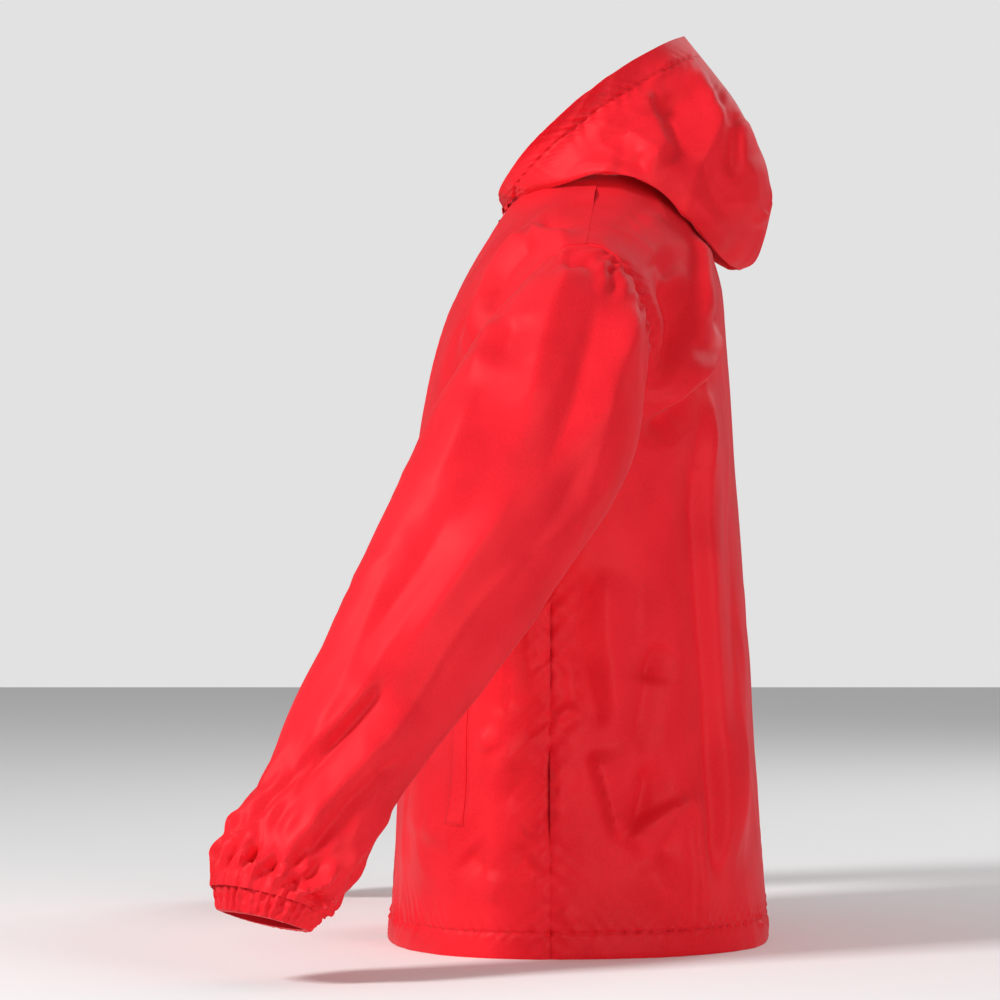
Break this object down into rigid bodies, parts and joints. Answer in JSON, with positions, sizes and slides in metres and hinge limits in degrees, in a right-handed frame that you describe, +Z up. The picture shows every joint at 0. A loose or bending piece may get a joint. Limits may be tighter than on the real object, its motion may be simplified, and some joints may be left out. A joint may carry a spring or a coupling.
{
  "type": "hooded zip jacket",
  "caption": "Light unlined hooded windbreaker with a front zip, elastic cuffs, slanted welt pockets and a tunnel hem, standing as worn with the hood half back.",
  "frame": {"origin": "on the floor under the middle of the bounding box, the hem standing on z = 0", "axes": "+Z up, the front faces -Y, the wearer's left is +X; the body's middle plane is x = 0"},
  "size_m": [0.9496, 0.5078, 0.8649],
  "materials": {
    "shell_cloth": "bright red coated taffeta, soft sheen",
    "neck_tape": "dark red woven tape, matt",
    "label": "white satin ribbon, blank",
    "elastic": "white ribbed elastic",
    "zip_tape": "black woven tape",
    "zip_teeth": "black moulded, semi-gloss",
    "zip_slider": "black enamelled metal",
    "zip_puller": "polished nickel"
  },
  "bodies": {
    "torso": {"back_panel": "shell_cloth", "care_label": "label", "front_left": "shell_cloth", "front_right": "shell_cloth", "hanger_loop": "neck_tape", "hem_facing_back": "shell_cloth", "hem_facing_front_left": "shell_cloth", "hem_facing_front_right": "shell_cloth", "hood_hem_left": "shell_cloth", "hood_hem_right": "shell_cloth", "hood_left": "shell_cloth", "hood_right": "shell_cloth", "neck_tape": "neck_tape", "pocket_bag_left": "shell_cloth", "pocket_bag_right": "shell_cloth", "pocket_welt_left": "shell_cloth", "pocket_welt_right": "shell_cloth", "zip_facing_left": "shell_cloth", "zip_facing_right": "shell_cloth", "zip_insertion_pin": "zip_teeth", "zip_retainer_box": "zip_teeth", "zip_tape_left": "zip_tape", "zip_tape_right": "zip_tape", "zip_teeth_left": "zip_teeth", "zip_teeth_right": "zip_teeth", "zip_top_stop_left": "zip_teeth", "zip_top_stop_right": "zip_teeth"},
    "sleeve_left_body": {"sleeve_left": "shell_cloth", "cuff_casing_left": "shell_cloth", "cuff_elastic_left": "elastic"},
    "sleeve_right_body": {"sleeve_right": "shell_cloth", "cuff_casing_right": "shell_cloth", "cuff_elastic_right": "elastic"},
    "slider_body": {"zip_slider": "zip_slider"},
    "puller_body": {"zip_puller": "zip_puller"}
  },
  "joints": [
    {"name": "sleeve_left_swing", "type": "hinge", "parent": "torso", "child": "sleeve_left_body", "pos_m": [0.2354, 0.06107, 0.5495], "axis": [1, 0, 0], "range_deg": [-25, 25]},
    {"name": "sleeve_right_swing", "type": "hinge", "parent": "torso", "child": "sleeve_right_body", "pos_m": [-0.2354, 0.06107, 0.5495], "axis": [1, 0, 0], "range_deg": [-25, 25]},
    {"name": "zip_travel", "type": "hinge", "parent": "torso", "child": "slider_body", "pos_m": [0, 0.41302, 0.4109], "axis": [1, 0, 0], "range_deg": [0, 29]},
    {"name": "puller_swing", "type": "hinge", "parent": "slider_body", "child": "puller_body", "pos_m": [0, -0.00727, 0.68651], "axis": [-1, 0, 0], "range_deg": [0, 140]}
  ]
}
